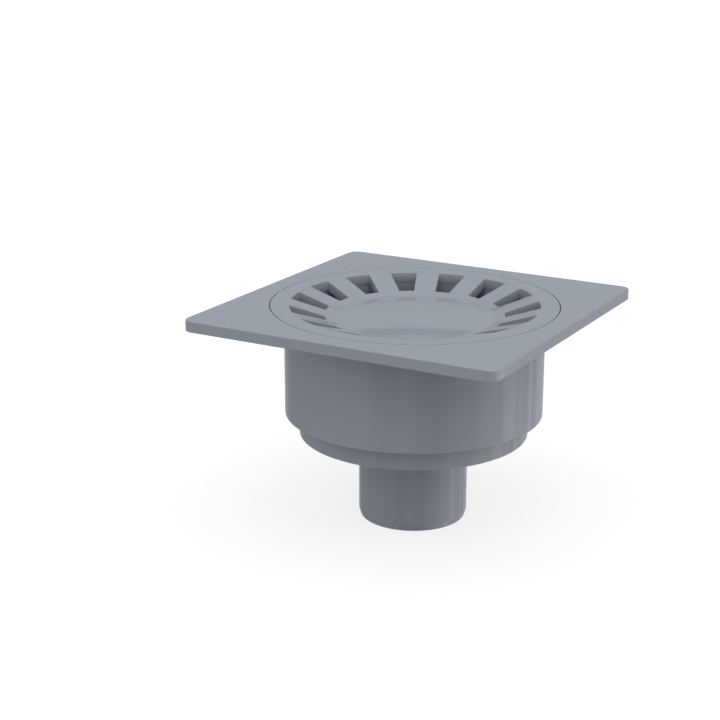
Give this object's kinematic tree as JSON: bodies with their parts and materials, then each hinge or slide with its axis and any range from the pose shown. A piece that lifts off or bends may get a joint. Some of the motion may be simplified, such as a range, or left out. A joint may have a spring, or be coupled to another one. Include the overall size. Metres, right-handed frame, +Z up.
{
  "type": "gully trap",
  "caption": "Square floor gully with a dished slotted grate, a stepped trap chamber with a bell water seal and a straight vertical outlet spigot.",
  "frame": {"origin": "centre of the outlet spigot's lower end, which is the middle of the lowest plane of the part", "axes": "+Z up along the outlet to the floor surface; X and Y along the sides of the square plate"},
  "size_m": [0.15, 0.15, 0.1007],
  "materials": {
    "body_plastic": "smooth moulded, satin gloss",
    "grate_plastic": "smooth moulded, satin gloss",
    "bell_plastic": "smooth moulded, satin gloss"
  },
  "bodies": {
    "root": {"gully_body": "body_plastic", "grate": "grate_plastic", "bell": "bell_plastic"}
  },
  "joints": []
}
